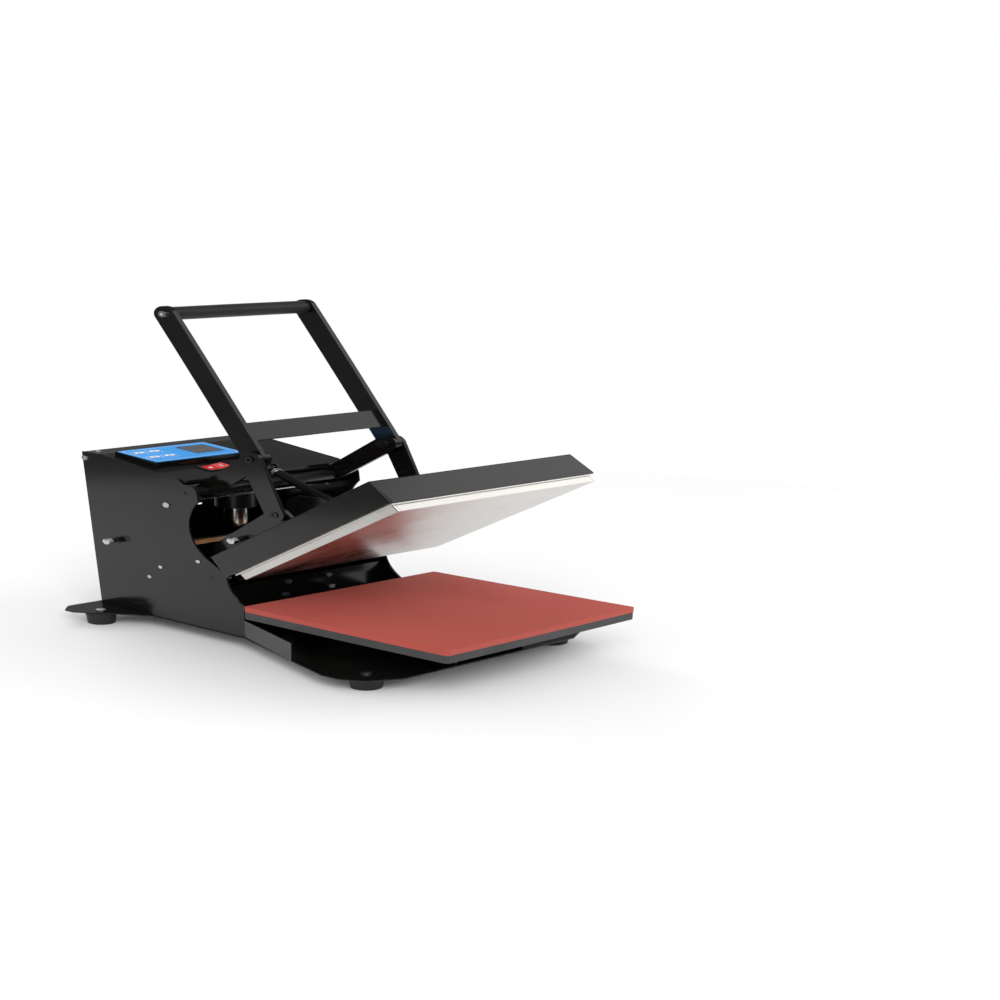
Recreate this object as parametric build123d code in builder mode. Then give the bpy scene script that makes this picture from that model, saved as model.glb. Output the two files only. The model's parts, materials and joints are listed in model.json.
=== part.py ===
"""Clamshell heat press, 380 x 380 mm, modelled open: frame, toggle lever, heated platen and lower platen.

Frame: millimetres, +Z up, +X to the operator's right, -Y to the operator, floor at Z = 0.
The origin is the bottom centre of the whole press as it stands open.
"""

import os
from math import cos, radians, sin, tan

from build123d import *

os.makedirs("parts", exist_ok=True)

# ---- driving dimensions -------------------------------------------------------------------------
PLATEN = 380.0            # side of both platens
PLATEN_Y = -195.0         # centre of the lower platen
MAT_TOP = 147.0           # working height above the floor
MAT_T = 14.0              # silicone mat
LOWER_T = 20.0            # lower platen casting
OPEN_ANGLE = 41.0         # how far the upper platen stands open

HINGE_Y, HINGE_Z = 93.0, 193.0     # platen hinge
LEVER_Y, LEVER_Z = 145.0, 418.0    # lever pivot in the ears of the frame
JOINT_Y, JOINT_Z = 30.5, 526.0     # lever to toggle link
TOGGLE_Y, TOGGLE_Z = -16.0, 389.0  # toggle link to carrier arm
GRIP_Y, GRIP_Z = 208.0, 886.0      # centre of the grip
DAMPER_Y, DAMPER_Z = 135.0, 462.0  # damper's pivot on the frame
DAMPER_U, DAMPER_V = -212.0, 50.0  # damper's pivot on the carriage, from the hinge

BASE_TOP = 37.0
BASE_T = 3.0
PLATE_IN, PLATE_OUT = 155.0, 158.0  # faces of the side plates
INNER = PLATE_IN - 0.5              # half width of what fits between the side plates
LEVER_X = (119.0, 125.0)            # lever plate
ARM_X = (125.0, 133.0)              # handle arm
CARRIER_X = (126.0, 132.0)          # carrier arm
TOGGLE_X = (134.0, 140.0)           # toggle link
LINK_W = 42.0                       # width of the lever plates, links and handle arms
PIN_R = 6.0                         # joint bolts
SHAFT_R = 8.0                       # lever shaft
HINGE_R = 9.0                       # platen hinge shaft
RUN = 0.05                          # radial running clearance

# upper platen, in the carriage's own axes: U rearwards along the platen, V away from its face
HEAT_V, HEAT_T = -45.6, 16.0
HEAT_U = -288.0
LIP_TOP_V = -26.0
HOUSE_V, HOUSE_H = -25.6, 60.0
HOUSE_W, HOUSE_L, HOUSE_U = 396.0, 412.0, -280.0
HOUSE_TOP_V = HOUSE_V + HOUSE_H
SHEET = 2.0

SLOPE = 41.0 / 193.0                # fall of the top cover towards the operator
COVER_KNEE_Y, COVER_TOP = 339.0, 489.5
BACK_BOTTOM_Y, BACK_TOP_Y, BODY_TOP = 361.0, 385.0, 490.0

CASE_X, CASE_W = -58.0, 168.0       # control case
FACE_TILT = 8.2
FACE_Y, FACE_Z = 276.5, 489.0

U_DIR = (0, cos(radians(OPEN_ANGLE)), -sin(radians(OPEN_ANGLE)))
V_DIR = (0, sin(radians(OPEN_ANGLE)), cos(radians(OPEN_ANGLE)))


def side(x):
    """The plane across the press at x: its axes are Y and Z, and it faces +X."""
    return Plane(origin=(x, 0, 0), x_dir=(0, 1, 0), z_dir=(1, 0, 0))


def carriage_side(x):
    """The same plane in the carriage's axes U and V, from the platen hinge."""
    return Plane(origin=(x, HINGE_Y, HINGE_Z), x_dir=U_DIR, z_dir=(1, 0, 0))


def carriage_flat(v):
    """The plane of the upper platen at height v: its axes are X and U."""
    origin = (0, HINGE_Y + v * V_DIR[1], HINGE_Z + v * V_DIR[2])
    return Plane(origin=origin, x_dir=(1, 0, 0), z_dir=V_DIR)


def sheet_span(hand, low, high):
    """Start plane offset and amount of a plate between |x| = low and high on one hand of the press."""
    return (low, high - low) if hand > 0 else (-high, high - low)


def save(part, name):
    """Writes one piece to its own file."""
    part.label = name
    export_step(part, f"parts/{name}.step")


def cover_z(y):
    """Height of the sloping top cover's outside at y."""
    return COVER_TOP - max(0.0, COVER_KNEE_Y - y) * SLOPE


# ---- frame --------------------------------------------------------------------------------------
BASE_OUTLINE = [
    (0, 380), (-210, 380), (-231, 358), (-231, 340), (-176, 262), (-160, 236), (-160, 31),
    (-209, -122), (-222, -164), (-235, -205), (-235, -235), (-222, -270), (-173, -295), (0, -295),
]
FEET = [(-193, 318), (193, 318), (-189, -244), (189, -244)]
FLANGE_H = 50.0
FOOT_R = 25.0

with BuildPart() as base_plate:
    with BuildSketch(Plane.XY.offset(BASE_TOP - BASE_T)) as base_face:
        with BuildLine():
            Polyline(*BASE_OUTLINE)
            mirror(about=Plane.YZ)
        make_face()
        fillet(base_face.vertices().group_by(Axis.Y)[1], 30)
        fillet(base_face.vertices().group_by(Axis.Y)[-1], 18)
        with Locations(*FEET):
            Circle(4.2, mode=Mode.SUBTRACT)
    extrude(amount=BASE_T)
    with BuildSketch(Plane.XY.offset(BASE_TOP - BASE_T)):
        with BuildLine():
            Polyline((-158.5, 29), (-209, -122), (-206.5, -122.8), (-156, 28.2), close=True)
        make_face()
        mirror(about=Plane.YZ)
    extrude(amount=BASE_T + FLANGE_H)
save(base_plate.part, "base_plate")

PLATE_FRONT_Y = 29.5
EAR_R = 22.0
EAR = [(151.0, LEVER_Z + 21.2), (129.4, LEVER_Z + 15.6), (LEVER_Y - EAR_R, LEVER_Z)]
NOTCH = [(121.3, 396.0), (143.0, 327.0), (112.0, 246.0)]
NOSE = [(74.0, 214.0), (65.4, 201.8)]
THROAT = [(65.4, 201.8), (57.8, 166.9), (33.7, 129.9)]
SIDE_SCREWS = [(377, 473, 4.0), (190, 375, 4.0), (211, 191, 2.5), (238, 155, 2.5), (125, 230, 2.5)]
HEX_BOLT = (314.0, 244.0)


def side_plate(hand):
    """One side plate: laser-cut sheet with the ear, the round notch and the throat for the platen."""
    start, amount = sheet_span(hand, PLATE_IN, PLATE_OUT)
    with BuildPart() as plate:
        with BuildSketch(side(start)) as outline:
            with BuildLine():
                Polyline(
                    (PLATE_FRONT_Y, BASE_TOP), (BACK_BOTTOM_Y, BASE_TOP), (BACK_TOP_Y, BODY_TOP),
                    (COVER_KNEE_Y, BODY_TOP), (166, cover_z(166) + 0.5), EAR[0],
                )
                ThreePointArc(*EAR)
                Line(EAR[2], NOTCH[0])
                ThreePointArc(*NOTCH)
                Polyline(NOTCH[2], *NOSE)
                ThreePointArc(*THROAT)
                Polyline(THROAT[2], (PLATE_FRONT_Y, 124), (PLATE_FRONT_Y, BASE_TOP))
            make_face()
            with Locations((LEVER_Y, LEVER_Z), (HINGE_Y, HINGE_Z)):
                Circle(PIN_R, mode=Mode.SUBTRACT)
            for y, z, r in SIDE_SCREWS:
                with Locations((y, z)):
                    Circle(r, mode=Mode.SUBTRACT)
            with Locations(HEX_BOLT):
                Circle(4.0, mode=Mode.SUBTRACT)
        extrude(amount=amount)
    return plate.part


save(side_plate(-1), "side_plate_left")
save(side_plate(1), "side_plate_right")

INLET_X, INLET_Z = 70.0, 110.0
INLET_W, INLET_H = 27.5, 20.0
FUSE_X = 22.0
REAR_Z = (38.0, 487.0)
BACK_LEAN = (BACK_TOP_Y - BACK_BOTTOM_Y) / (BODY_TOP - BASE_TOP)


def back_y(z):
    """Y of the leaning rear cover's outside at height z."""
    return BACK_BOTTOM_Y + (z - BASE_TOP) * BACK_LEAN


def back_plane(x, z):
    """Plane on the outside of the leaning rear cover, facing backwards, its Y axis up."""
    return Plane(origin=(x, back_y(z), z), x_dir=(-1, 0, 0), z_dir=(0, 1, -BACK_LEAN))


with BuildPart() as rear_cover:
    with BuildSketch(side(-INNER)):
        with BuildLine():
            Polyline(
                (back_y(REAR_Z[0]), REAR_Z[0]), (back_y(REAR_Z[1]), REAR_Z[1]),
                (back_y(REAR_Z[1]) - SHEET, REAR_Z[1]), (back_y(REAR_Z[0]) - SHEET, REAR_Z[0]), close=True,
            )
        make_face()
    extrude(amount=2 * INNER)
    with BuildSketch(back_plane(INLET_X, INLET_Z)):
        Rectangle(INLET_W + 0.6, INLET_H + 0.6)
    extrude(amount=-6, mode=Mode.SUBTRACT)
    with BuildSketch(back_plane(FUSE_X, INLET_Z)):
        Circle(6.2)
    extrude(amount=-6, mode=Mode.SUBTRACT)
    with BuildSketch(back_plane(0, 330)):
        with GridLocations(0, 14, 1, 6):
            SlotOverall(120, 5)
    extrude(amount=-6, mode=Mode.SUBTRACT)
save(rear_cover.part, "rear_cover")

ROCKER_X, ROCKER_Y = -58.0, 198.0
COVER_FRONT_Y, COVER_BACK_Y = 150.0, 384.2
rocker_plane = Plane(
    origin=(ROCKER_X, ROCKER_Y, cover_z(ROCKER_Y)), x_dir=(1, 0, 0), z_dir=(0, -SLOPE, 1)
)

with BuildPart() as top_cover:
    with BuildSketch(side(-INNER)):
        with BuildLine():
            Polyline(
                (COVER_BACK_Y, COVER_TOP), (COVER_KNEE_Y, COVER_TOP),
                (COVER_FRONT_Y, cover_z(COVER_FRONT_Y)), (COVER_FRONT_Y, cover_z(COVER_FRONT_Y) - SHEET), (COVER_KNEE_Y, COVER_TOP - SHEET),
                (COVER_BACK_Y, COVER_TOP - SHEET), close=True,
            )
        make_face()
    extrude(amount=2 * INNER)
    with BuildSketch(rocker_plane):
        Rectangle(44.6, 28.6)
    extrude(amount=6, both=True, mode=Mode.SUBTRACT)
save(top_cover.part, "top_cover")

CROSS_Y, CROSS_SHEET = 70.0, 3.0
CROSS_Z = (38.0, 170.0)
CROSS_SCREWS = [(-40, 157), (40, 157), (-46, 121), (46, 121)]
with BuildPart() as cross_plate:
    with BuildSketch(Plane(origin=(0, CROSS_Y, 0), x_dir=(1, 0, 0), z_dir=(0, -1, 0))):
        with Locations((0, sum(CROSS_Z) / 2)):
            Rectangle(2 * INNER, CROSS_Z[1] - CROSS_Z[0])
        with Locations(*CROSS_SCREWS):
            Circle(3.0, mode=Mode.SUBTRACT)
    extrude(amount=CROSS_SHEET)
save(cross_plate.part, "cross_plate")

DAMPER_X = -11.5
DAMPER_EAR_GAP, DAMPER_EAR_T = 7.5, 3.0
BEAM_Y, BEAM_Z = (150.0, 172.0), 442.0
with BuildPart() as front_beam:
    with BuildSketch(side(-INNER)):
        with BuildLine():
            Polyline(
                (BEAM_Y[1], cover_z(BEAM_Y[1]) - SHEET), (BEAM_Y[0], cover_z(BEAM_Y[0]) - SHEET),
                (BEAM_Y[0], BEAM_Z), (BEAM_Y[1], BEAM_Z), close=True,
            )
        make_face()
    extrude(amount=2 * INNER)
    for ear_x in (DAMPER_X - DAMPER_EAR_GAP - DAMPER_EAR_T, DAMPER_X + DAMPER_EAR_GAP):
        with BuildSketch(side(ear_x)):
            with BuildLine():
                Polyline(
                    (BEAM_Y[0], BEAM_Z), (BEAM_Y[0], 460), (141, 473), (129, 473), (124, 462), (128, 452),
                    (138, BEAM_Z), close=True,
                )
            make_face()
            with Locations((DAMPER_Y, DAMPER_Z)):
                Circle(4.0, mode=Mode.SUBTRACT)
        extrude(amount=DAMPER_EAR_T)
save(front_beam.part, "front_beam")

with BuildPart() as stop_bar:
    with BuildSketch(side(-INNER)):
        with Locations((172, 266)):
            Rectangle(10, 12)
    extrude(amount=2 * INNER)
save(stop_bar.part, "stop_bar")

MAGNET_Y = 223.0
MAGNET_FACE = 276.0
with BuildPart() as magnet_core:
    with BuildSketch(Plane.XY.offset(MAGNET_FACE)):
        with Locations((0, MAGNET_Y)):
            Circle(19)
    extrude(amount=56)
    chamfer(magnet_core.edges().group_by(Axis.Z)[0], 1.0)
save(magnet_core.part, "magnet_core")

with BuildPart() as magnet_coil:
    with BuildSketch(Plane.XY.offset(MAGNET_FACE + 56)):
        with Locations((0, MAGNET_Y)):
            Circle(32)
    extrude(amount=44)
    fillet(magnet_coil.edges().filter_by(GeomType.CIRCLE), 2.5)
save(magnet_coil.part, "magnet_coil")

with BuildPart() as magnet_hanger:
    with BuildSketch(side(-INNER)):
        with BuildLine():
            Polyline((190, 376), (256, 376), (256, 400), (253, 400), (253, 379), (190, 379), close=True)
        make_face()
    extrude(amount=2 * INNER)
save(magnet_hanger.part, "magnet_hanger")

with BuildPart() as hinge_shaft:
    with BuildSketch(side(-INNER)):
        with Locations((HINGE_Y, HINGE_Z)):
            Circle(HINGE_R)
    extrude(amount=2 * INNER)
    with BuildSketch(side(-PLATE_OUT + 0.5)):
        with Locations((HINGE_Y, HINGE_Z)):
            Circle(PIN_R)
    extrude(amount=2 * PLATE_OUT - 1)
save(hinge_shaft.part, "hinge_shaft")

with BuildPart() as lever_shaft:
    with BuildSketch(side(-INNER)):
        with Locations((LEVER_Y, LEVER_Z)):
            Circle(SHAFT_R)
    extrude(amount=2 * INNER)
    with BuildSketch(side(-PLATE_OUT + 0.5)):
        with Locations((LEVER_Y, LEVER_Z)):
            Circle(PIN_R)
    extrude(amount=2 * PLATE_OUT - 1)
    with BuildSketch(side(-116)):
        with Locations((LEVER_Y, LEVER_Z)):
            Circle(15)
    extrude(amount=232)
save(lever_shaft.part, "lever_shaft")

with BuildPart() as shaft_collars:
    for hand in (-1, 1):
        start, amount = sheet_span(hand, 126, INNER)
        with BuildSketch(side(start)):
            with Locations((LEVER_Y, LEVER_Z)):
                Circle(12)
                Circle(SHAFT_R, mode=Mode.SUBTRACT)
        extrude(amount=amount)
save(shaft_collars.part, "shaft_collars")

SPRING_WIRE_R, SPRING_R, SPRING_PITCH = 2.0, 13.0, 4.3
with BuildPart() as torsion_springs:
    for hand in (-1, 1):
        for turn in range(4):
            x = hand * (136.5 + turn * SPRING_PITCH)
            with Locations(Plane(origin=(x, HINGE_Y, HINGE_Z), z_dir=(1, 0, 0))):
                Torus(SPRING_R, SPRING_WIRE_R)
save(torsion_springs.part, "torsion_springs")

# ---- lower platen -------------------------------------------------------------------------------
LOWER_BOTTOM = MAT_TOP - MAT_T - LOWER_T
POCKET = 5.0
with BuildPart() as lower_platen:
    with BuildSketch(Plane.XY.offset(LOWER_BOTTOM)):
        with Locations((0, PLATEN_Y)):
            RectangleRounded(PLATEN, PLATEN, 7)
    extrude(amount=LOWER_T)
    with BuildSketch(Plane.XY.offset(LOWER_BOTTOM)):
        with Locations((0, PLATEN_Y)):
            with GridLocations(118, 118, 3, 3):
                RectangleRounded(104, 104, 6)
    extrude(amount=POCKET, mode=Mode.SUBTRACT)
save(lower_platen.part, "lower_platen")

with BuildPart() as silicone_mat:
    with BuildSketch(Plane.XY.offset(MAT_TOP - MAT_T)):
        with Locations((0, PLATEN_Y)):
            RectangleRounded(PLATEN, PLATEN, 6)
    extrude(amount=MAT_T)
    fillet(silicone_mat.edges().group_by(Axis.Z)[-1], 1.5)
save(silicone_mat.part, "silicone_mat")

SUPPORT_W, SUPPORT_L, SUPPORT_T = 140.0, 315.0, 4.0
SUPPORT_H = LOWER_BOTTOM - BASE_TOP
with BuildPart() as lower_support:
    with BuildSketch(Plane(origin=(0, 25, 0), x_dir=(1, 0, 0), z_dir=(0, -1, 0))):
        with Locations((0, BASE_TOP + SUPPORT_H / 2)):
            Rectangle(SUPPORT_W, SUPPORT_H)
        with Locations((0, BASE_TOP + SUPPORT_H / 2 - SUPPORT_T)):
            Rectangle(SUPPORT_W - 2 * SUPPORT_T, SUPPORT_H, mode=Mode.SUBTRACT)
    extrude(amount=SUPPORT_L)
save(lower_support.part, "lower_support")

with BuildPart() as rubber_feet:
    with Locations(*[Plane(origin=(x, y, 0)) for x, y in FEET]):
        Cone(FOOT_R - 4, FOOT_R, BASE_TOP - BASE_T, align=(Align.CENTER, Align.CENTER, Align.MIN))
        Cylinder(3.0, 14, align=(Align.CENTER, Align.CENTER, Align.MIN), mode=Mode.SUBTRACT)
    fillet(rubber_feet.edges().group_by(Axis.Z)[0].filter_by(lambda e: e.length > 100), 2.0)
save(rubber_feet.part, "rubber_feet")

FOOT_HEAD = 3.2
with BuildPart() as foot_screws:
    with Locations(*[Plane(origin=(x, y, BASE_TOP)) for x, y in FEET]):
        Cylinder(7.5, FOOT_HEAD, align=(Align.CENTER, Align.CENTER, Align.MIN))
        Cylinder(4.1, BASE_T, align=(Align.CENTER, Align.CENTER, Align.MAX))
    with BuildSketch(Plane.XY.offset(BASE_TOP + FOOT_HEAD)):
        with Locations(*FEET):
            Rectangle(8, 1.6)
            Rectangle(1.6, 8)
    extrude(amount=-FOOT_HEAD / 2, mode=Mode.SUBTRACT)
save(foot_screws.part, "foot_screws")

# ---- screws on the frame ------------------------------------------------------------------------
with BuildPart() as frame_screws:
    for hand in (-1, 1):
        for y, z, r in SIDE_SCREWS:
            head = r * 1.75
            start, amount = sheet_span(hand, PLATE_OUT, PLATE_OUT + r * 0.55)
            with BuildSketch(side(start)):
                with Locations((y, z)):
                    Circle(head)
            extrude(amount=amount)
            start, amount = sheet_span(hand, PLATE_IN, PLATE_OUT)
            with BuildSketch(side(start)):
                with Locations((y, z)):
                    Circle(r)
            extrude(amount=amount)
            start, amount = sheet_span(hand, PLATE_OUT + r * 0.15, PLATE_OUT + r)
            with BuildSketch(side(start)):
                with Locations((y, z)):
                    RegularPolygon(r * 0.8, 6)
            extrude(amount=amount, mode=Mode.SUBTRACT)
    for x, z in CROSS_SCREWS:
        with Locations(Plane(origin=(x, CROSS_Y - CROSS_SHEET, z), z_dir=(0, -1, 0))):
            Cylinder(5.5, 3.0, align=(Align.CENTER, Align.CENTER, Align.MIN))
            Cylinder(3.0, CROSS_SHEET, align=(Align.CENTER, Align.CENTER, Align.MAX))
save(frame_screws.part, "frame_screws")


BOLT_R, WASHER_R, WASHER_T = 4.0, 10.0, 2.0
BOLT_HEAD_R, BOLT_LENGTH = 7.5, 20.0


def hex_bolt(hand, face, plane, at):
    """Shank, washer and long hex head of one bolt that stands out of a plate at |x| = face."""
    with BuildPart() as bolt:
        for radius, low, high in ((BOLT_R, -3.0, 6.0), (WASHER_R, 0.0, WASHER_T)):
            start, amount = sheet_span(hand, face + low, face + high)
            with BuildSketch(plane(start)):
                with Locations(at):
                    Circle(radius)
            extrude(amount=amount)
        start, amount = sheet_span(hand, face + WASHER_T, face + BOLT_LENGTH)
        with BuildSketch(plane(start)):
            with Locations(at):
                RegularPolygon(BOLT_HEAD_R, 6)
        extrude(amount=amount)
    return bolt.part


frame_bolt_pair = [hex_bolt(hand, PLATE_OUT, side, HEX_BOLT) for hand in (-1, 1)]
with BuildPart() as frame_bolts:
    add(frame_bolt_pair)
save(frame_bolts.part, "frame_bolts")

# ---- controls -----------------------------------------------------------------------------------
CASE_FRONT, CASE_BACK = 228.0, 325.0
face_plane = Plane(
    origin=(CASE_X, FACE_Y, FACE_Z),
    x_dir=(1, 0, 0),
    z_dir=(0, -sin(radians(FACE_TILT)), cos(radians(FACE_TILT))),
)
BUTTONS = [(-62, 20), (-34, 20), (-62, -16), (-34, -16)]
BUTTON_W, BUTTON_H = 20.0, 13.0
WINDOW_W, WINDOW_H, WINDOW_AT = 53.0, 52.0, (40.0, 4.0)
CASE_WALL, CASE_LID = 2.0, 5.0


def case_top(y):
    """Height of the control case's top face at y."""
    return FACE_Z + (y - FACE_Y) * tan(radians(FACE_TILT))


inside = (CASE_FRONT + CASE_WALL, CASE_BACK - CASE_WALL)
with BuildPart() as control_case:
    with BuildSketch(side(CASE_X - CASE_W / 2)):
        with BuildLine():
            Polyline(
                (CASE_FRONT, cover_z(CASE_FRONT)), (CASE_FRONT, case_top(CASE_FRONT)),
                (CASE_BACK, case_top(CASE_BACK)), (CASE_BACK, cover_z(CASE_BACK)), close=True,
            )
        make_face()
    extrude(amount=CASE_W)
    with BuildSketch(side(CASE_X - CASE_W / 2 + CASE_WALL)):
        with BuildLine():
            Polyline(
                (inside[0], cover_z(inside[0]) - 1), (inside[0], case_top(inside[0]) - CASE_LID),
                (inside[1], case_top(inside[1]) - CASE_LID), (inside[1], cover_z(inside[1]) - 1), close=True,
            )
        make_face()
    extrude(amount=CASE_W - 2 * CASE_WALL, mode=Mode.SUBTRACT)
    with BuildSketch(face_plane):
        with Locations(*BUTTONS):
            RectangleRounded(BUTTON_W, BUTTON_H, 3)
    extrude(amount=-3.2, mode=Mode.SUBTRACT)
save(control_case.part, "control_case")

with BuildPart() as control_faceplate:
    with BuildSketch(face_plane):
        RectangleRounded(164, 93, 3)
        with Locations(*BUTTONS):
            RectangleRounded(BUTTON_W, BUTTON_H, 3, mode=Mode.SUBTRACT)
        with Locations(WINDOW_AT):
            Rectangle(WINDOW_W, WINDOW_H, mode=Mode.SUBTRACT)
    extrude(amount=1.5)
save(control_faceplate.part, "control_faceplate")

with BuildPart() as display_window:
    with BuildSketch(face_plane):
        with Locations(WINDOW_AT):
            Rectangle(WINDOW_W, WINDOW_H)
    extrude(amount=1.8)
save(display_window.part, "display_window")

for number, place in enumerate(BUTTONS, 1):
    with BuildPart() as button:
        with BuildSketch(face_plane.offset(-2.2)):
            with Locations(place):
                RectangleRounded(BUTTON_W - 0.6, BUTTON_H - 0.6, 2.7)
        extrude(amount=4.8)
        fillet(button.faces().sort_by(Axis(face_plane.origin, face_plane.z_dir))[-1].edges(), 0.6)
    save(button.part, f"button_{number}")

with BuildPart() as control_board:
    with BuildSketch(side(CASE_X - 60)):
        with BuildLine():
            Polyline((232, 474.6), (262, 478.9), (262, 477.3), (232, 473.0), close=True)
        make_face()
    extrude(amount=120)
save(control_board.part, "control_board")

with BuildPart() as rocker_bezel:
    with BuildSketch(rocker_plane):
        RectangleRounded(52, 36, 2)
    extrude(amount=2.4)
    with BuildSketch(rocker_plane):
        Rectangle(44, 28)
    extrude(amount=-14)
    with BuildSketch(rocker_plane.offset(2.4)):
        Rectangle(42, 26)
    extrude(amount=-14.4, mode=Mode.SUBTRACT)
save(rocker_bezel.part, "rocker_bezel")

ROCKER_TILT = 8.0
ROCKER_L, ROCKER_W = 38.8, 24.8
rocker_along = rocker_plane.x_dir * cos(radians(ROCKER_TILT)) + rocker_plane.z_dir * sin(radians(ROCKER_TILT))
rocker_side = Plane(origin=rocker_plane.origin, x_dir=rocker_along, z_dir=-rocker_plane.y_dir)
with BuildPart() as rocker:
    with BuildSketch(rocker_side.offset(-ROCKER_W / 2)):
        with BuildLine():
            Polyline(
                (-ROCKER_L / 2, -4.5), (ROCKER_L / 2, -4.5), (ROCKER_L / 2, 4.2), (0, 2.6),
                (-ROCKER_L / 2, 4.2), close=True,
            )
        make_face()
    extrude(amount=ROCKER_W)
save(rocker.part, "rocker")

inlet_plane = back_plane(INLET_X, INLET_Z)
with BuildPart() as power_inlet:
    with BuildSketch(inlet_plane):
        RectangleRounded(48, 27, 4)
    extrude(amount=2.2)
    with BuildSketch(inlet_plane):
        Rectangle(INLET_W, INLET_H)
    extrude(amount=-24)
    with BuildSketch(inlet_plane.offset(2.2)):
        RectangleRounded(24, 16, 4)
    extrude(amount=-16, mode=Mode.SUBTRACT)
    with BuildSketch(inlet_plane.offset(-15)):
        with Locations((-7, 2), (7, 2), (0, -3)):
            Rectangle(2, 5)
    extrude(amount=12)
save(power_inlet.part, "power_inlet")

fuse_plane = back_plane(FUSE_X, INLET_Z)
with BuildPart() as fuse_holder:
    with BuildSketch(fuse_plane.offset(-30)):
        Circle(6)
    extrude(amount=30)
    with BuildSketch(fuse_plane):
        Circle(8.5)
    extrude(amount=3)
    with BuildSketch(fuse_plane.offset(3)):
        Circle(6.5)
    extrude(amount=5)
    with BuildSketch(fuse_plane.offset(8)):
        Rectangle(10, 1.6)
    extrude(amount=-1.5, mode=Mode.SUBTRACT)
save(fuse_holder.part, "fuse_holder")

with BuildPart() as relay:
    with BuildSketch(Plane.XY.offset(BASE_TOP)):
        with Locations((95, 250)):
            RectangleRounded(58, 45, 3)
    extrude(amount=6)
    with BuildSketch(Plane.XY.offset(BASE_TOP + 6)):
        with Locations((95, 250)):
            Rectangle(54, 36)
    extrude(amount=24)
save(relay.part, "relay")

# ---- carriage -----------------------------------------------------------------------------------
with BuildPart() as heat_platen:
    with BuildSketch(carriage_flat(HEAT_V)):
        with Locations((0, HEAT_U)):
            RectangleRounded(PLATEN, PLATEN, 3)
    extrude(amount=HEAT_T)
    with BuildSketch(carriage_flat(HEAT_V + HEAT_T)):
        with Locations((0, HEAT_U)):
            Rectangle(388, 388)
    extrude(amount=LIP_TOP_V - HEAT_V - HEAT_T)
save(heat_platen.part, "heat_platen")

with BuildPart() as platen_housing:
    with BuildSketch(carriage_flat(HOUSE_V)):
        with Locations((0, HOUSE_U)):
            RectangleRounded(HOUSE_W, HOUSE_L, 5)
    extrude(amount=HOUSE_H, taper=4.5)
    fillet(platen_housing.faces().sort_by(Axis((0, 0, 0), V_DIR))[-1].edges(), 2.5)
    with BuildSketch(carriage_flat(HOUSE_V)):
        with Locations((0, HOUSE_U)):
            RectangleRounded(HOUSE_W - 2 * SHEET, HOUSE_L - 2 * SHEET, 4)
    extrude(amount=HOUSE_H - SHEET, taper=4.5, mode=Mode.SUBTRACT)
save(platen_housing.part, "platen_housing")

ELEMENT_R = 4.0
with BuildPart() as heating_element:
    with BuildSketch(carriage_flat(LIP_TOP_V)):
        for row in range(7):
            with Locations((0, HEAT_U - 150 + 50 * row)):
                Rectangle(320, 2 * ELEMENT_R)
        for row in range(6):
            with Locations((156 * (-1) ** row, HEAT_U - 125 + 50 * row)):
                Rectangle(2 * ELEMENT_R, 58)
    extrude(amount=2 * ELEMENT_R)
save(heating_element.part, "heating_element")

with BuildPart() as insulation_board:
    with BuildSketch(carriage_flat(-16)):
        with Locations((0, HEAT_U)):
            Rectangle(366, 366)
    extrude(amount=12)
save(insulation_board.part, "insulation_board")

CARRIAGE_BOLT = (-96.0, 62.0)
LUG_R = 17.0
TOGGLE_UV = (-210.85, 76.41)


def carrier_arm(hand):
    """One carrier arm: stands on the housing and reaches back and down to the platen hinge."""
    start, amount = sheet_span(hand, *CARRIER_X)
    u, v = TOGGLE_UV
    with BuildPart() as arm:
        with BuildSketch(carriage_side(start)):
            with BuildLine():
                Polyline(
                    (u - LUG_R, v), (u - LUG_R, HOUSE_TOP_V), (-74, HOUSE_TOP_V), (-66, 30), (-14.1, -14.1),
                )
                ThreePointArc((-14.1, -14.1), (5.2, -19.3), (20, 0))
                Polyline((20, 0), (14, 20), (-20, 70), (-40, 80), (u, v + LUG_R))
                ThreePointArc((u, v + LUG_R), (u - 12.02, v + 12.02), (u - LUG_R, v))
            make_face()
            with Locations((0, 0)):
                Circle(HINGE_R + RUN, mode=Mode.SUBTRACT)
            with Locations((u, v)):
                Circle(PIN_R, mode=Mode.SUBTRACT)
            with Locations(CARRIAGE_BOLT):
                Circle(4.0, mode=Mode.SUBTRACT)
        extrude(amount=amount)
    return arm.part


save(carrier_arm(-1), "carrier_arm_left")
save(carrier_arm(1), "carrier_arm_right")

with BuildPart() as hinge_tube:
    with BuildSketch(carriage_side(-CARRIER_X[0])):
        Circle(15)
    extrude(amount=2 * CARRIER_X[0])
    with BuildSketch(carriage_side(-16)):
        with BuildLine():
            Polyline((2, 14.6), (100, 74.4), (128, 74.4), (14, 4), close=True)
        make_face()
    extrude(amount=32)
    with BuildSketch(carriage_side(-CARRIER_X[0] - 1)):
        Circle(HINGE_R + RUN)
    extrude(amount=2 * CARRIER_X[0] + 2, mode=Mode.SUBTRACT)
save(hinge_tube.part, "hinge_tube")

with BuildPart() as armature_plate:
    with BuildSketch(carriage_flat(74.4)):
        with Locations((0, 130)):
            RectangleRounded(56, 56, 4)
    extrude(amount=8)
save(armature_plate.part, "armature_plate")

with BuildPart() as damper_rib:
    with BuildSketch(carriage_side(-30)):
        with BuildLine():
            Polyline((-105, HOUSE_TOP_V), (-116, 100), (-126, 124))
            ThreePointArc((-126, 124), (-146, 136), (-172, 130))
            Polyline((-172, 130), (-196, 110), (-228, 62), (-232, HOUSE_TOP_V), (-105, HOUSE_TOP_V))
        make_face()
        with Locations((DAMPER_U, DAMPER_V)):
            Circle(4.0, mode=Mode.SUBTRACT)
    extrude(amount=6)
save(damper_rib.part, "damper_rib")

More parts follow.
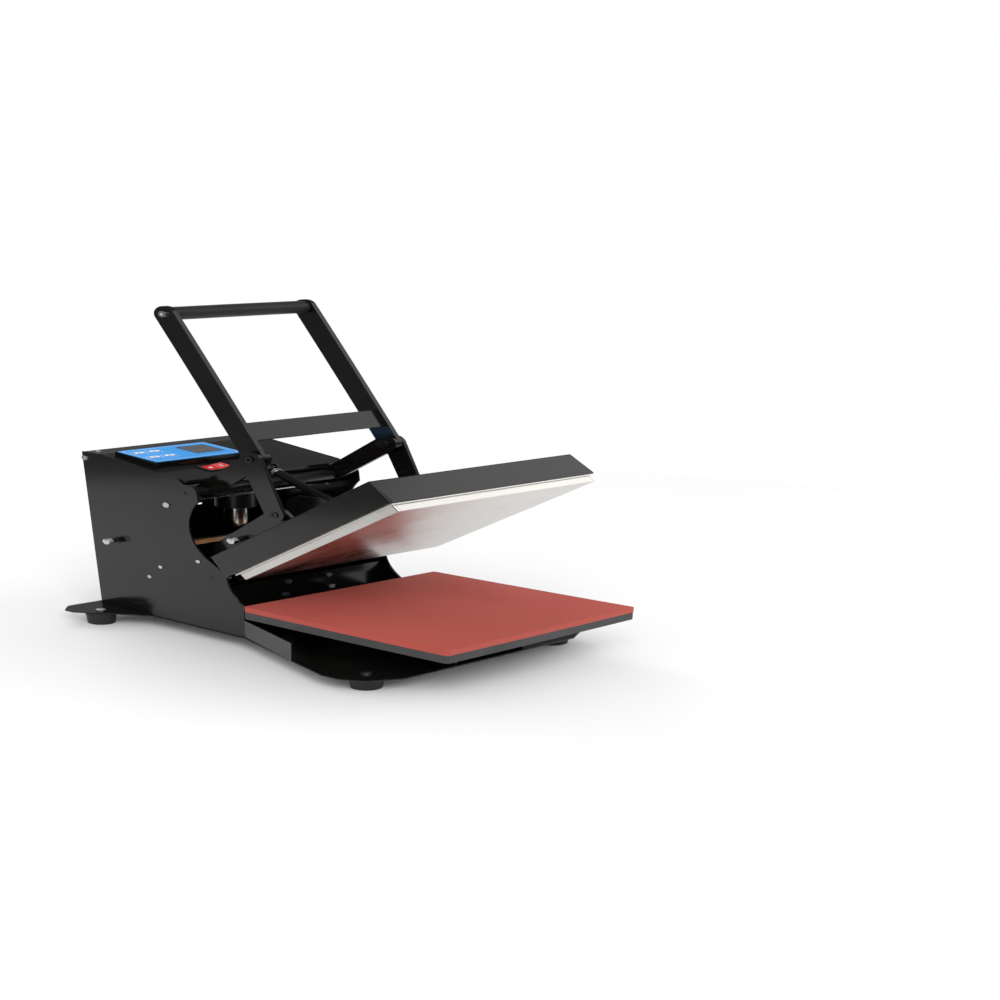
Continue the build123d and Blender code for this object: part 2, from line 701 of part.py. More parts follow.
carriage_bolt_pair = [hex_bolt(hand, CARRIER_X[1], carriage_side, CARRIAGE_BOLT) for hand in (-1, 1)]
with BuildPart() as carriage_bolts:
    add(carriage_bolt_pair)
save(carriage_bolts.part, "carriage_bolts")

# ---- lever --------------------------------------------------------------------------------------
BAR_R = LINK_W / 2
JOINT = Vector(JOINT_Y, JOINT_Z)
GRIP = Vector(GRIP_Y, GRIP_Z)


def bar(hand, span, ends, holes, end_radii):
    """A flat bar with round ends between two points of the side plane, with its holes."""
    start, amount = sheet_span(hand, *span)
    (y0, z0), (y1, z1) = ends
    length = Vector(y1 - y0, z1 - z0).length
    along = Plane(origin=(start, y0, z0), x_dir=(0, y1 - y0, z1 - z0), z_dir=(1, 0, 0))
    r0, r1 = end_radii
    with BuildPart() as piece:
        with BuildSketch(along):
            with BuildLine():
                Line((0, r0), (length, r1))
                ThreePointArc((length, r1), (length + r1, 0), (length, -r1))
                Line((length, -r1), (0, -r0))
                ThreePointArc((0, -r0), (-r0, 0), (0, r0))
            make_face()
            for where, radius in holes:
                with Locations((where * length, 0)):
                    Circle(radius, mode=Mode.SUBTRACT)
        extrude(amount=amount)
    return piece.part


LEVER_AT, JOINT_AT = (LEVER_Y, LEVER_Z), (JOINT_Y, JOINT_Z)
TOGGLE_AT, GRIP_AT = (TOGGLE_Y, TOGGLE_Z), (GRIP_Y, GRIP_Z)
BARS = {
    "lever_plate": (LEVER_X, (LEVER_AT, JOINT_AT), [(0, SHAFT_R + RUN), (1, PIN_R)], (19, BAR_R)),
    "handle_arm": (ARM_X, (JOINT_AT, GRIP_AT), [(0, PIN_R), (1, 4.0)], (BAR_R, BAR_R)),
    "toggle_link": (TOGGLE_X, (JOINT_AT, TOGGLE_AT), [(0, PIN_R + RUN), (1, PIN_R)], (BAR_R, 19)),
}
for kind, shape in BARS.items():
    for hand, word in ((-1, "left"), (1, "right")):
        save(bar(hand, *shape), f"{kind}_{word}")

PIN_HEAD_R, PIN_HEX_R = 8.0, 4.2
with BuildPart() as joint_bolts:
    for hand in (-1, 1):
        for radius, low, high in ((PIN_R, 106, 141.0), (PIN_HEAD_R, 141.0, 142.5), (11.0, 109, 119)):
            start, amount = sheet_span(hand, low, high)
            with BuildSketch(side(start)):
                with Locations(JOINT_AT):
                    Circle(radius)
            extrude(amount=amount)
        start, amount = sheet_span(hand, 139.0, 142.5)
        with BuildSketch(side(start)):
            with Locations(JOINT_AT):
                RegularPolygon(PIN_HEX_R, 6)
        extrude(amount=amount, mode=Mode.SUBTRACT)
save(joint_bolts.part, "joint_bolts")

with BuildPart() as toggle_pins:
    for hand in (-1, 1):
        start, amount = sheet_span(hand, TOGGLE_X[0] + 0.4, TOGGLE_X[1])
        with BuildSketch(side(start)):
            with Locations(TOGGLE_AT):
                Circle(PIN_R)
        extrude(amount=amount)
        start, amount = sheet_span(hand, TOGGLE_X[1], TOGGLE_X[1] + 1.5)
        with BuildSketch(side(start)):
            with Locations(TOGGLE_AT):
                Circle(PIN_HEAD_R)
                RegularPolygon(PIN_HEX_R, 6, mode=Mode.SUBTRACT)
        extrude(amount=amount)
save(toggle_pins.part, "toggle_pins")

GRIP_R = 17.5
with BuildPart() as grip_rod:
    with BuildSketch(side(-ARM_X[0])):
        with Locations(GRIP_AT):
            Circle(11)
    extrude(amount=2 * ARM_X[0])
save(grip_rod.part, "grip_rod")

with BuildPart() as grip_sleeve:
    with BuildSketch(side(-ARM_X[0] + 0.5)):
        with Locations(GRIP_AT):
            Circle(GRIP_R)
            Circle(11, mode=Mode.SUBTRACT)
    extrude(amount=2 * ARM_X[0] - 1)
    fillet(grip_sleeve.edges().filter_by(GeomType.CIRCLE).filter_by(lambda e: e.length > 100), 1.5)
save(grip_sleeve.part, "grip_sleeve")

with BuildPart() as grip_screws:
    for hand in (-1, 1):
        for radius, low, high in ((4.0, ARM_X[0], ARM_X[1]), (8.0, ARM_X[1], ARM_X[1] + 3.5)):
            start, amount = sheet_span(hand, low, high)
            with BuildSketch(side(start)):
                with Locations(GRIP_AT):
                    Circle(radius)
            extrude(amount=amount)
        start, amount = sheet_span(hand, ARM_X[1] + 1.5, ARM_X[1] + 3.5)
        with BuildSketch(side(start)):
            with Locations(GRIP_AT):
                RegularPolygon(4.0, 6)
        extrude(amount=amount, mode=Mode.SUBTRACT)
save(grip_screws.part, "grip_screws")

CROSS_AT, CROSS_OFF, CROSS_H, CROSS_T = 0.17, 10.0, 48.0, 6.0
with BuildPart() as crossbar:
    arm_dir = (GRIP - JOINT).normalized()
    middle = JOINT + arm_dir * (GRIP - JOINT).length * CROSS_AT
    centre = (middle.X - arm_dir.Y * CROSS_OFF, middle.Y + arm_dir.X * CROSS_OFF)
    bar_plane = Plane(origin=(-ARM_X[0], *centre), x_dir=(0, arm_dir.X, arm_dir.Y), z_dir=(1, 0, 0))
    with BuildSketch(bar_plane):
        RectangleRounded(CROSS_H, CROSS_T, 1.2)
    extrude(amount=2 * ARM_X[0])
save(crossbar.part, "crossbar")

# ---- damper -------------------------------------------------------------------------------------
DAMPER_TUBE, GLAND_T = 172.0, 2.5
damper_foot = carriage_side(DAMPER_X).from_local_coords(Vector(DAMPER_U, DAMPER_V, 0))
damper_head = Vector(DAMPER_X, DAMPER_Y, DAMPER_Z)
damper_line = damper_foot - damper_head
damper_plane = Plane(origin=damper_head, x_dir=(1, 0, 0), z_dir=damper_line)
with BuildPart() as damper_cylinder:
    with BuildSketch(damper_plane.offset(12)):
        Circle(9)
    extrude(amount=DAMPER_TUBE - 12)
    with BuildSketch(damper_plane.offset(14)):
        Circle(6.5)
    extrude(amount=DAMPER_TUBE - GLAND_T - 14, mode=Mode.SUBTRACT)
    with BuildSketch(damper_plane.offset(DAMPER_TUBE - GLAND_T)):
        Circle(4 + RUN)
    extrude(amount=GLAND_T, mode=Mode.SUBTRACT)
    with BuildSketch(side(DAMPER_X - 7)):
        with Locations((DAMPER_Y, DAMPER_Z)):
            Circle(8)
    extrude(amount=14)
    with BuildSketch(side(DAMPER_X - 11)):
        with Locations((DAMPER_Y, DAMPER_Z)):
            Circle(3.95)
    extrude(amount=22)
    with BuildSketch(damper_plane.offset(6)):
        Rectangle(10, 10)
    extrude(amount=8)
save(damper_cylinder.part, "damper_cylinder")

with BuildPart() as damper_rod:
    with BuildSketch(damper_plane.offset(22)):
        Circle(6.42)
    extrude(amount=4)
    with BuildSketch(damper_plane.offset(22)):
        Circle(4)
    extrude(amount=damper_line.length - 22)
    with BuildSketch(side(DAMPER_X - 7)):
        with Locations((damper_foot.Y, damper_foot.Z)):
            Circle(8)
    extrude(amount=14)
    with BuildSketch(side(DAMPER_X - 12)):
        with Locations((damper_foot.Y, damper_foot.Z)):
            Circle(3.9)
    extrude(amount=12)
save(damper_rod.part, "damper_rod")
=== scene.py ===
"""Looks of the clamshell heat press: finishes, fine pieces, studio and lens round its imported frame."""

import json
import logging
import math
from dataclasses import dataclass, field
from enum import Enum
from typing import Any, Sequence

import bmesh
import bpy
from mathutils import Matrix, Vector


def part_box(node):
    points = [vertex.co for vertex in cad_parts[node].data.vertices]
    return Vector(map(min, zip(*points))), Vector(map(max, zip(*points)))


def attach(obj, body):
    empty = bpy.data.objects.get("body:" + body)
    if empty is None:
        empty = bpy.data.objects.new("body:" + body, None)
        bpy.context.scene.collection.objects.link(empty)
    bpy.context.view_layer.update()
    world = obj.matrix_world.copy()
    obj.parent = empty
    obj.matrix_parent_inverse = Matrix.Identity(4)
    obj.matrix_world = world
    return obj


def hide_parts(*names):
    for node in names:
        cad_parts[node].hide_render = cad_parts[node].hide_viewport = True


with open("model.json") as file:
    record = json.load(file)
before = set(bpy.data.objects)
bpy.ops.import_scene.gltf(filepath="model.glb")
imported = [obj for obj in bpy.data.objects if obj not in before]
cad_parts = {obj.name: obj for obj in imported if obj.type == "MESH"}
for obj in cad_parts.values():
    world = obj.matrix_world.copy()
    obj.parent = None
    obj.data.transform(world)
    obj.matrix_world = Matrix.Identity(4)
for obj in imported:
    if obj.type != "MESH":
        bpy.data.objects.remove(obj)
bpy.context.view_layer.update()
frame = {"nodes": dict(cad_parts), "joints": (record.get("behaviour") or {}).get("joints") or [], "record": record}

LOG = logging.getLogger("heat_press")
MM = 0.001

Rgb = tuple[float, float, float]


# ---- finishes -----------------------------------------------------------------------------------
class Pattern(Enum):
    """Direction of the fine relief of a surface: the object-space scale of its noise."""

    EVEN = (1.0, 1.0, 1.0)
    ALONG_X = (0.012, 1.0, 1.0)
    ROUND_X = (1.0, 0.02, 0.02)


@dataclass(frozen=True)
class Finish:
    """What one material shows: colour, gloss, grain, wear, dust and a painted glow.

    Lengths are metres, scales are cells per metre, and the other fields run from 0 to 1.
    """

    base: Rgb
    rough: float
    metallic: float = 0.0
    rough_spread: float = 0.08
    grain: float = 900.0
    grain_height: float = 0.00002
    pattern: Pattern = Pattern.EVEN
    mottle: float = 0.10
    mottle_scale: float = 14.0
    round_edge: float = 0.0006
    wear: float = 0.0
    wear_colour: Rgb = (0.30, 0.30, 0.31)
    dust: float = 0.0
    pores: float = 0.0
    coat: float = 0.0
    specular: float = 0.5
    sheen: float = 0.0
    # emission: strength of a painted glow in the base colour, for a part that holds no lamp
    emission: float = 0.0


FINISHES: dict[str, Finish] = {
    "black_powder_coat": Finish((0.0048, 0.0045, 0.0040), 0.17, rough_spread=0.04, grain=1500.0,
                                grain_height=0.000006, mottle=0.25, mottle_scale=11.0, wear=0.30, dust=0.012,
                                coat=0.15, round_edge=0.0009, specular=0.30),
    "black_oxide": Finish((0.012, 0.012, 0.012), 0.30, 0.4, grain=1500.0, pattern=Pattern.ROUND_X,
                          mottle=0.25, wear=0.25),
    "zinc_steel": Finish((0.60, 0.61, 0.63), 0.30, 1.0, grain=1200.0, pattern=Pattern.ROUND_X, mottle=0.16,
                         mottle_scale=90.0, dust=0.05),
    "yellow_zinc": Finish((0.62, 0.50, 0.26), 0.36, 1.0, pattern=Pattern.ALONG_X, mottle=0.30,
                          mottle_scale=40.0),
    "steel": Finish((0.42, 0.42, 0.43), 0.34, 1.0, grain=1600.0, pattern=Pattern.ROUND_X, mottle=0.2),
    "chrome": Finish((0.80, 0.80, 0.82), 0.19, 1.0, rough_spread=0.05, grain_height=0.000006, mottle=0.05),
    "aluminium": Finish((0.58, 0.56, 0.53), 0.27, 1.0, grain=1400.0, grain_height=0.000018,
                        pattern=Pattern.ALONG_X, mottle=0.14, mottle_scale=9.0, rough_spread=0.14),
    "cast_aluminium": Finish((0.045, 0.045, 0.048), 0.42, 0.3, grain=700.0, grain_height=0.00006, mottle=0.25,
                             mottle_scale=30.0, wear=0.35, wear_colour=(0.45, 0.45, 0.46), round_edge=0.0012),
    "silicone": Finish((0.430, 0.066, 0.045), 0.58, grain=650.0, grain_height=0.00004, mottle=0.07,
                       mottle_scale=5.0, pores=0.6, dust=0.03, sheen=0.08, round_edge=0.0012, specular=0.3),
    "rubber": Finish((0.008, 0.008, 0.0085), 0.55, grain=1100.0, grain_height=0.00005, mottle=0.2, dust=0.06,
                     round_edge=0.0012),
    "coil_cover": Finish((0.008, 0.008, 0.009), 0.36, grain=1200.0, mottle=0.2, dust=0.04),
    "blue_film": Finish((0.035, 0.33, 0.82), 0.30, grain=2600.0, grain_height=0.000006, mottle=0.06,
                        coat=0.15, round_edge=0.0004, specular=0.3),
    "display": Finish((0.115, 0.115, 0.12), 0.20, rough_spread=0.04, grain_height=0.000001, mottle=0.06,
                      specular=0.4),
    "button_film": Finish((0.03, 0.28, 0.74), 0.30, grain=2600.0, grain_height=0.000006, mottle=0.06,
                          coat=0.4),
    "board": Finish((0.02, 0.16, 0.07), 0.40, mottle=0.3, mottle_scale=150.0),
    "black_plastic": Finish((0.008, 0.008, 0.0085), 0.34, grain=1900.0, grain_height=0.00003, mottle=0.12,
                            dust=0.02),
    # red_plastic carries a faint painted glow (emission 0.12), though the rocker switch holds no lamp
    "red_plastic": Finish((0.56, 0.010, 0.008), 0.26, grain=1500.0, grain_height=0.000006, mottle=0.10,
                          emission=0.12, specular=0.3),
    "insulation": Finish((0.62, 0.57, 0.42), 0.85, grain=800.0, grain_height=0.0001, mottle=0.25),
    "grip": Finish((0.007, 0.007, 0.0075), 0.52, grain=850.0, grain_height=0.00008, mottle=0.18, pores=0.35,
                   dust=0.02, sheen=0.05),
    "white_print": Finish((0.82, 0.84, 0.86), 0.38, grain=2200.0, grain_height=0.000004, mottle=0.05),
    "dark_print": Finish((0.05, 0.06, 0.07), 0.30, grain=2200.0, grain_height=0.000004, mottle=0.05),
    "weld": Finish((0.006, 0.0055, 0.005), 0.24, grain=1300.0, grain_height=0.00003, mottle=0.25, coat=0.2),
}

# Each step gives the value at which a mask starts and the value at which it is full.
EDGE_STEP, CHIP_STEP = (0.03, 0.28), (0.52, 0.66)
UPWARD_STEP, FILM_STEP = (0.2, 1.0), (0.35, 0.75)
TONE_STEP, PORE_STEP = (0.36, 0.64), (0.05, 0.35)

EDGE_RADIUS = 0.0015
EDGE_SAMPLES = 4
CHIPS_PER_METRE, FILM_PER_METRE, PORES_PER_METRE = 55.0, 9.0, 1100.0
PORE_DEPTH, PORE_STRENGTH = 0.00012, 0.8
DUST_COLOUR: Rgb = (0.42, 0.40, 0.37)
DUST_ROUGHENS = 1.5
COAT_ROUGH = 0.12
GRAIN_IN_TONE = 0.3
GRAIN_IN_GLOSS = 0.35
NOISE_TO_SPREAD = 4.0


class Graph:
    """A node tree with short calls for adding and joining nodes."""

    def __init__(self, tree: bpy.types.NodeTree) -> None:
        self.tree = tree

    def add(self, kind: str, values: dict[str | int, object] | None = None,
            **settings: object) -> bpy.types.Node:
        """Adds a node.

        Args:
            kind: the node's type without its ShaderNode prefix.
            values: input values or the sockets to join to them, by input name or number.
            settings: the node's own properties.

        Returns:
            The new node.
        """
        name = kind if kind.startswith("Node") else "ShaderNode" + kind
        node = self.tree.nodes.new(name)
        for key, value in settings.items():
            setattr(node, key, value)
        for key, value in (values or {}).items():
            if isinstance(value, bpy.types.NodeSocket):
                self.tree.links.new(value, node.inputs[key])
            else:
                node.inputs[key].default_value = value
        return node

    def maths(self, operation: str, *values: object) -> bpy.types.NodeSocket:
        """Adds a Math node and returns its output."""
        return self.add("Math", dict(enumerate(values)), operation=operation).outputs[0]

    def ramp(self, value: bpy.types.NodeSocket, low: float, high: float) -> bpy.types.NodeSocket:
        """Maps value from low..high to 0..1, clamped."""
        return self.add("MapRange", {0: value, 1: low, 2: high}).outputs[0]

    def blend(self, factor: object, first: object, second: object) -> bpy.types.NodeSocket:
        """Mixes two colours and returns the result."""
        return self.add("Mix", {0: factor, 6: first, 7: second}, data_type="RGBA").outputs[2]


def new_group(name: str, inputs: Sequence[tuple[str, float]], output: str) -> tuple[Graph, bpy.types.Node]:
    """Starts a shared node group.

    Args:
        name: the group's name.
        inputs: name and default of each float input.
        output: name of the one float output.

    Returns:
        The group's graph and its input node.
    """
    tree = bpy.data.node_groups.new(name, "ShaderNodeTree")
    for label, value in inputs:
        socket = tree.interface.new_socket(label, in_out="INPUT", socket_type="NodeSocketFloat")
        socket.default_value = value
    tree.interface.new_socket(output, in_out="OUTPUT", socket_type="NodeSocketFloat")
    graph = Graph(tree)
    return graph, graph.add("NodeGroupInput")


def edge_group() -> bpy.types.NodeTree:
    """Group that finds outer edges: where a rounded normal leaves the face's own, broken up by noise."""
    graph, given = new_group("edge_wear", [("Radius", EDGE_RADIUS), ("Amount", 0.5)], "Mask")
    rounded = graph.add("Bevel", {"Radius": given.outputs["Radius"]}, samples=EDGE_SAMPLES)
    face = graph.add("NewGeometry")
    parts = {0: rounded.outputs[0], 1: face.outputs["Normal"]}
    along = graph.add("VectorMath", parts, operation="DOT_PRODUCT").outputs["Value"]
    edge = graph.ramp(graph.maths("SUBTRACT", 1.0, along), *EDGE_STEP)
    where = graph.add("TexCoord").outputs["Object"]
    noise = {"Vector": where, "Scale": CHIPS_PER_METRE, "Detail": 6.0, "Roughness": 0.7}
    broken = graph.ramp(graph.add("TexNoise", noise).outputs[0], *CHIP_STEP)
    mask = graph.maths("MULTIPLY", graph.maths("MULTIPLY", edge, broken), given.outputs["Amount"])
    graph.add("NodeGroupOutput", {0: mask})
    return graph.tree


def dust_group() -> bpy.types.NodeTree:
    """Group that lays thin uneven dust on faces that look up."""
    graph, given = new_group("dust", [("Amount", 0.1)], "Mask")
    normal = graph.add("NewGeometry").outputs["Normal"]
    up = graph.add("SeparateXYZ", {0: normal}).outputs["Z"]
    where = graph.add("TexCoord").outputs["Object"]
    noise = {"Vector": where, "Scale": FILM_PER_METRE, "Detail": 9.0, "Roughness": 0.75}
    film = graph.add("TexNoise", noise).outputs[0]
    patch = graph.maths("MULTIPLY", graph.ramp(up, *UPWARD_STEP), graph.ramp(film, *FILM_STEP))
    graph.add("NodeGroupOutput", {0: graph.maths("MULTIPLY", patch, given.outputs["Amount"])})
    return graph.tree


class Workshop:
    """Makes each material once, from its finish."""

    def __init__(self) -> None:
        self.edge = edge_group()
        self.dust = dust_group()
        self.made: dict[str, bpy.types.Material] = {}

    def material(self, name: str) -> bpy.types.Material:
        """Returns the material of a named finish, making it the first time."""
        if name not in self.made:
            self.made[name] = self._build(name, FINISHES[name])
        return self.made[name]

    def _build(self, name: str, finish: Finish) -> bpy.types.Material:
        """Builds the node tree of one finish."""
        material = bpy.data.materials.new(name)
        material.use_nodes = True
        material.node_tree.nodes.clear()
        graph = Graph(material.node_tree)
        where = graph.add("TexCoord").outputs["Object"]
        streaks = graph.add("Mapping", {"Vector": where, "Scale": finish.pattern.value}).outputs[0]
        fine = graph.add("TexNoise", {"Vector": streaks, "Scale": finish.grain, "Detail": 3.0}).outputs[0]
        slow = {"Vector": where, "Scale": finish.mottle_scale, "Detail": 5.0}
        cloud = graph.add("TexNoise", slow).outputs[0]
        colour = self._colour(graph, finish, cloud, fine)
        if finish.wear:
            worn = graph.add("Group", {"Amount": finish.wear}, node_tree=self.edge).outputs[0]
            colour = graph.blend(worn, colour, (*finish.wear_colour, 1.0))
        dust = graph.add("Group", {"Amount": finish.dust}, node_tree=self.dust).outputs[0]
        if finish.dust:
            colour = graph.blend(dust, colour, (*DUST_COLOUR, 1.0))
        shader = graph.add("BsdfPrincipled", {
            "Base Color": colour,
            "Roughness": self._roughness(graph, finish, cloud, fine, dust),
            "Normal": self._normal(graph, finish, where, fine),
            "Metallic": finish.metallic,
            "Coat Weight": finish.coat,
            "Coat Roughness": COAT_ROUGH,
            "Specular IOR Level": finish.specular,
            "Sheen Weight": finish.sheen,
        })
        # painted glow: the surface gives off light in its own base colour
        if finish.emission:
            shader.inputs["Emission Color"].default_value = (*finish.base, 1.0)
            shader.inputs["Emission Strength"].default_value = finish.emission
        graph.add("OutputMaterial", {0: shader.outputs[0]})
        return material

    def _colour(self, graph: Graph, finish: Finish, cloud: bpy.types.NodeSocket,
                fine: bpy.types.NodeSocket) -> bpy.types.NodeSocket:
        """Base colour that drifts lighter and darker in slow clouds and in the grain."""
        dark = tuple(part * (1.0 - finish.mottle) for part in finish.base) + (1.0,)
        light = tuple(min(1.0, part * (1.0 + finish.mottle)) for part in finish.base) + (1.0,)
        slow = graph.maths("MULTIPLY", cloud, 1.0 - GRAIN_IN_TONE)
        level = graph.maths("MULTIPLY_ADD", fine, GRAIN_IN_TONE, slow)
        return graph.blend(graph.ramp(level, *TONE_STEP), dark, light)

    def _roughness(self, graph: Graph, finish: Finish, cloud: bpy.types.NodeSocket,
                   fine: bpy.types.NodeSocket, dust: bpy.types.NodeSocket) -> bpy.types.NodeSocket:
        """Roughness that varies with handling marks, grain and dust."""
        slow = graph.maths("MULTIPLY", cloud, 1.0 - GRAIN_IN_GLOSS)
        mixed = graph.maths("ADD", slow, graph.maths("MULTIPLY", fine, GRAIN_IN_GLOSS))
        centred = graph.maths("SUBTRACT", mixed, 0.5)
        spread = graph.maths("MULTIPLY", centred, NOISE_TO_SPREAD * finish.rough_spread)
        dulled = graph.maths("MULTIPLY", dust, DUST_ROUGHENS)
        return graph.maths("ADD", graph.maths("ADD", spread, finish.rough), dulled)

    def _normal(self, graph: Graph, finish: Finish, where: bpy.types.NodeSocket,
                fine: bpy.types.NodeSocket) -> bpy.types.NodeSocket:
        """Softened edges under the relief of the grain and the pores."""
        rounded = graph.add("Bevel", {"Radius": finish.round_edge}, samples=EDGE_SAMPLES).outputs[0]
        relief = {"Height": fine, "Distance": finish.grain_height, "Strength": 1.0, "Normal": rounded}
        normal = graph.add("Bump", relief).outputs[0]
        if finish.pores:
            cells = graph.add("TexVoronoi", {"Vector": where, "Scale": PORES_PER_METRE}).outputs[0]
            pits = graph.ramp(cells, *PORE_STEP)
            depth = PORE_DEPTH * finish.pores
            deep = {"Height": pits, "Distance": depth, "Strength": PORE_STRENGTH, "Normal": normal}
            normal = graph.add("Bump", deep).outputs[0]
        return normal


# ---- mesh pieces --------------------------------------------------------------------------------
Outline = list[tuple[float, float]]

WIRE_SIDES, STEPS_PER_TURN = 10, 28
RIPPLE_PITCH, RIPPLE_STRETCH = 1.3, 1.1
RIPPLE_SEGMENTS = (10, 6)
CHAMFER_SEGMENTS = 2
WELD_DISTANCE = 1e-7


@dataclass
class Shape:
    """A mesh under construction, in metres, in the press's own frame."""

    mesh: bmesh.types.BMesh = field(default_factory=bmesh.new)

    def _chain(self, points: Sequence[Vector], closed: bool) -> list[bmesh.types.BMEdge]:
        """Adds points joined by edges."""
        spots = [self.mesh.verts.new(point) for point in points]
        pairs = list(zip(spots, spots[1:]))
        if closed:
            pairs.append((spots[-1], spots[0]))
        return [self.mesh.edges.new(pair) for pair in pairs]

    def lathe(self, profile: Sequence[tuple[float, float]], place: Matrix, steps: int = 48) -> None:
        """Turns a profile of (radius, height) points a full turn round the Z axis of place."""
        points = [place @ Vector((radius, 0.0, height)) for radius, height in profile]
        edges = self._chain(points, closed=False)
        spots = {spot for edge in edges for spot in edge.verts}
        axis = place.to_3x3() @ Vector((0, 0, 1))
        bmesh.ops.spin(self.mesh, geom=[*spots, *edges], cent=place.translation, axis=axis,
                       angle=2 * math.pi, steps=steps, use_merge=True)
        bmesh.ops.remove_doubles(self.mesh, verts=self.mesh.verts, dist=WELD_DISTANCE)

    def coil(self, place: Matrix, radius: float, wire: float, turns: float, length: float) -> None:
        """Winds a round wire round the Z axis of place, from its origin to length."""
        start = place @ Matrix.Translation((radius, 0, 0)) @ Matrix.Rotation(math.pi / 2, 4, "X")
        ring = bmesh.ops.create_circle(self.mesh, segments=WIRE_SIDES, radius=wire, matrix=start,
                                       cap_ends=True)
        face = next(iter(ring["verts"][0].link_faces))
        steps = int(STEPS_PER_TURN * turns)
        axis = place.to_3x3() @ Vector((0, 0, 1))
        bmesh.ops.spin(self.mesh, geom=[face, *face.edges, *face.verts], cent=place.translation, axis=axis,
                       dvec=axis * length / steps, angle=2 * math.pi * turns, steps=steps)

    def prism(self, outline: Outline, low: float, high: float, place: Matrix, chamfer: float = 0.0) -> None:
        """Raises an outline from low to high along the Z axis of place, with its top edges chamfered."""
        points = [place @ Vector((x, y, low)) for x, y in outline]
        edges = self._chain(points, closed=True)
        base = bmesh.ops.contextual_create(self.mesh, geom=edges)["faces"]
        raised = bmesh.ops.extrude_face_region(self.mesh, geom=base, use_keep_orig=True)["geom"]
        spots = [part for part in raised if isinstance(part, bmesh.types.BMVert)]
        rise = place.to_3x3() @ Vector((0, 0, high - low))
        bmesh.ops.translate(self.mesh, verts=spots, vec=rise)
        if chamfer:
            rim = [part for part in raised if isinstance(part, bmesh.types.BMEdge)]
            bmesh.ops.bevel(self.mesh, geom=rim, offset=chamfer, affect="EDGES",
                            segments=CHAMFER_SEGMENTS, profile=0.5, material=-1)

    def ring(self, outer: Outline, inner: Outline, low: float, high: float, place: Matrix) -> None:
        """Raises the flat ring between two outlines from low to high along the Z axis of place."""
        edges = []
        for outline in (outer, inner):
            edges += self._chain([place @ Vector((x, y, low)) for x, y in outline], closed=True)
        faces = bmesh.ops.bridge_loops(self.mesh, edges=edges)["faces"]
        raised = bmesh.ops.extrude_face_region(self.mesh, geom=faces, use_keep_orig=True)["geom"]
        spots = [part for part in raised if isinstance(part, bmesh.types.BMVert)]
        rise = place.to_3x3() @ Vector((0, 0, high - low))
        bmesh.ops.translate(self.mesh, verts=spots, vec=rise)

    def bead(self, start: Vector, end: Vector, size: float) -> None:
        """Lays a row of overlapping weld ripples from start to end."""
        count = max(2, int((end - start).length / (RIPPLE_PITCH * size)))
        around, rings = RIPPLE_SEGMENTS
        along = (end - start).normalized().to_track_quat("Z", "Y").to_matrix().to_4x4()
        for index in range(count + 1):
            spot = Matrix.Translation(start.lerp(end, index / count)) @ along
            ripple = spot @ Matrix.Diagonal((1.0, 1.0, RIPPLE_STRETCH, 1.0))
            bmesh.ops.create_uvsphere(self.mesh, u_segments=around, v_segments=rings, radius=size,
                                      matrix=ripple)

    def finish(self, name: str, body: str, slot: str, material: bpy.types.Material,
               replaces: Sequence[str] = (), smooth: float = 0.6) -> bpy.types.Object:
        """Writes the mesh to an object that rides on a body.

        Args:
            name: the piece's name.
            body: the body that it moves with.
            slot: a material slot's name, which is not used.
            material: what it is made of.
            replaces: CAD nodes that it stands for.
            smooth: angle in radians under which edges look smooth.

        Returns:
            The new object.
        """
        bmesh.ops.recalc_face_normals(self.mesh, faces=self.mesh.faces)
        for edge in self.mesh.edges:
            edge.smooth = edge.calc_face_angle(math.pi) < smooth
        for face in self.mesh.faces:
            face.smooth = True
        data = bpy.data.meshes.new(name)
        self.mesh.to_mesh(data)
        self.mesh.free()
        data.materials.append(material)
        piece = bpy.data.objects.new(name, data)
        bpy.context.scene.collection.objects.link(piece)
        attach(piece, body)
        if replaces:
            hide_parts(*replaces)
        LOG.info("%s rides on %s, %d faces", name, body, len(data.polygons))
        return piece


def rounded_rectangle(width: float, height: float, radius: float, at: tuple[float, float] = (0.0, 0.0),
                      steps: int = 6) -> Outline:
    """Outline of a rectangle with round corners, anticlockwise."""
    outline = []
    for corner, (sign_x, sign_y) in enumerate(((1, 1), (-1, 1), (-1, -1), (1, -1))):
        centre_x = at[0] + sign_x * (width / 2 - radius)
        centre_y = at[1] + sign_y * (height / 2 - radius)
        for step in range(steps + 1):
            angle = math.pi / 2 * (corner + step / steps)
            outline.append((centre_x + radius * math.cos(angle), centre_y + radius * math.sin(angle)))
    return outline


def regular(count: int, radius: float, turn: float = 0.0) -> Outline:
    """Outline of a regular polygon."""
    angles = [turn + 2 * math.pi * index / count for index in range(count)]
    return [(radius * math.cos(angle), radius * math.sin(angle)) for angle in angles]


def facing(origin: Vector, normal: Vector, across: Vector) -> Matrix:
    """Place whose Z axis is normal and whose X axis is across."""
    z_axis = normal.normalized()
    x_axis = (across - z_axis * across.dot(z_axis)).normalized()
    y_axis = z_axis.cross(x_axis)
    return Matrix.Translation(origin) @ Matrix((x_axis, y_axis, z_axis)).transposed().to_4x4()


def node_corners(node: str) -> tuple[Vector, Vector]:
    """Lowest and highest corner of a node's box."""
    low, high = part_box(node)
    return Vector(low), Vector(high)


def node_centre(node: str) -> Vector:
    """Middle of a node's box."""
    low, high = node_corners(node)
    return (low + high) / 2


def joint(name: str) -> dict[str, Any]:
    """A joint of the frame by name."""
    return next(entry for entry in frame["joints"] if entry["name"] == name)


X_AXIS, Y_AXIS, Z_AXIS = Vector((1, 0, 0)), Vector((0, 1, 0)), Vector((0, 0, 1))


